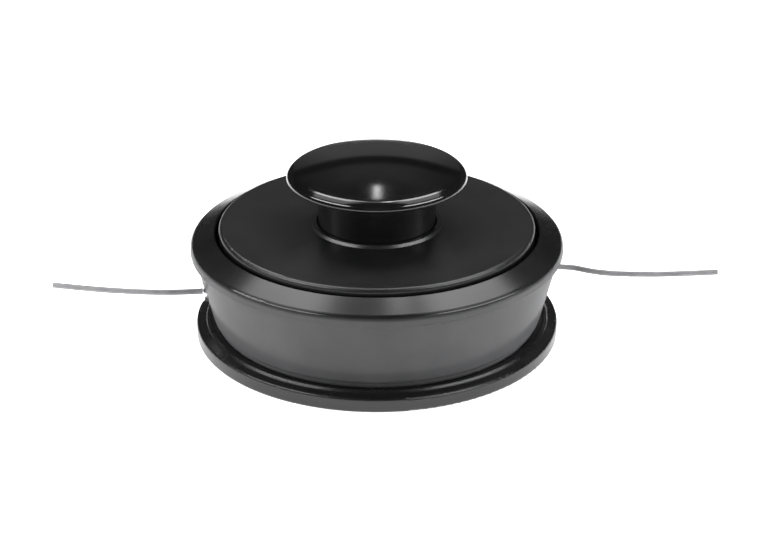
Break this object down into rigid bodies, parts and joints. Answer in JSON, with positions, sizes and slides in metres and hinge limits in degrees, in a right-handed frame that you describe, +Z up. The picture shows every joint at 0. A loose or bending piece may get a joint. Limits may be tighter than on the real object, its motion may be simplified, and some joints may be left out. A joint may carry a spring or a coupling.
{
  "type": "bump feed trimmer head",
  "caption": "Round black trimmer head with a flared drum, a flush spool plate, a mushroom bump knob on a neck and free ends of cutting line through eyelets.",
  "frame": {"origin": "on the spin axis at the underside of the base flange", "axes": "+Z up the spin axis to the knob, X through the two eyelets"},
  "size_m": [0.1947, 0.108, 0.0537],
  "materials": {
    "black_plastic": "fine moulded satin",
    "knob_plastic": "smooth satin",
    "steel": "zinc plated",
    "spring_steel": "oiled",
    "bush_bronze": "turned",
    "eyelet_metal": "polished",
    "nylon_line": "extruded, slightly translucent"
  },
  "bodies": {
    "housing": {"base_flange": "black_plastic", "drum_housing": "black_plastic", "drive_arbor": "steel", "arbor_washer": "steel", "arbor_lock_washer": "steel", "arbor_nut": "steel", "knob_bolt": "steel", "knob_bolt_washer": "steel", "feed_spring": "spring_steel", "eyelet_left": "eyelet_metal", "eyelet_right": "eyelet_metal", "line_tail_left": "nylon_line", "line_tail_right": "nylon_line"},
    "knob": {"bump_cap": "knob_plastic", "knob_sleeve": "knob_plastic", "spring_thrust_washer": "steel"},
    "spool": {"spool": "black_plastic", "spool_bush": "bush_bronze", "line_coil_lower": "nylon_line", "line_coil_upper": "nylon_line"}
  },
  "joints": [
    {"name": "bump", "type": "slide", "parent": "housing", "child": "knob", "axis": [0, 0, 1], "range_m": [-0.0045, 0], "stiffness_N_per_m": 2000, "springref_m": 0.008, "deforming": ["feed_spring"]},
    {"name": "spool_feed", "type": "hinge", "parent": "knob", "child": "spool", "pos_m": [0, 0, 0.0276], "axis": [0, 0, 1], "range_deg": [-30.5, 0.5]}
  ],
  "couplings": [
    {"joint": "spool_feed", "follows": "bump", "rad_per_m": 116.36}
  ]
}
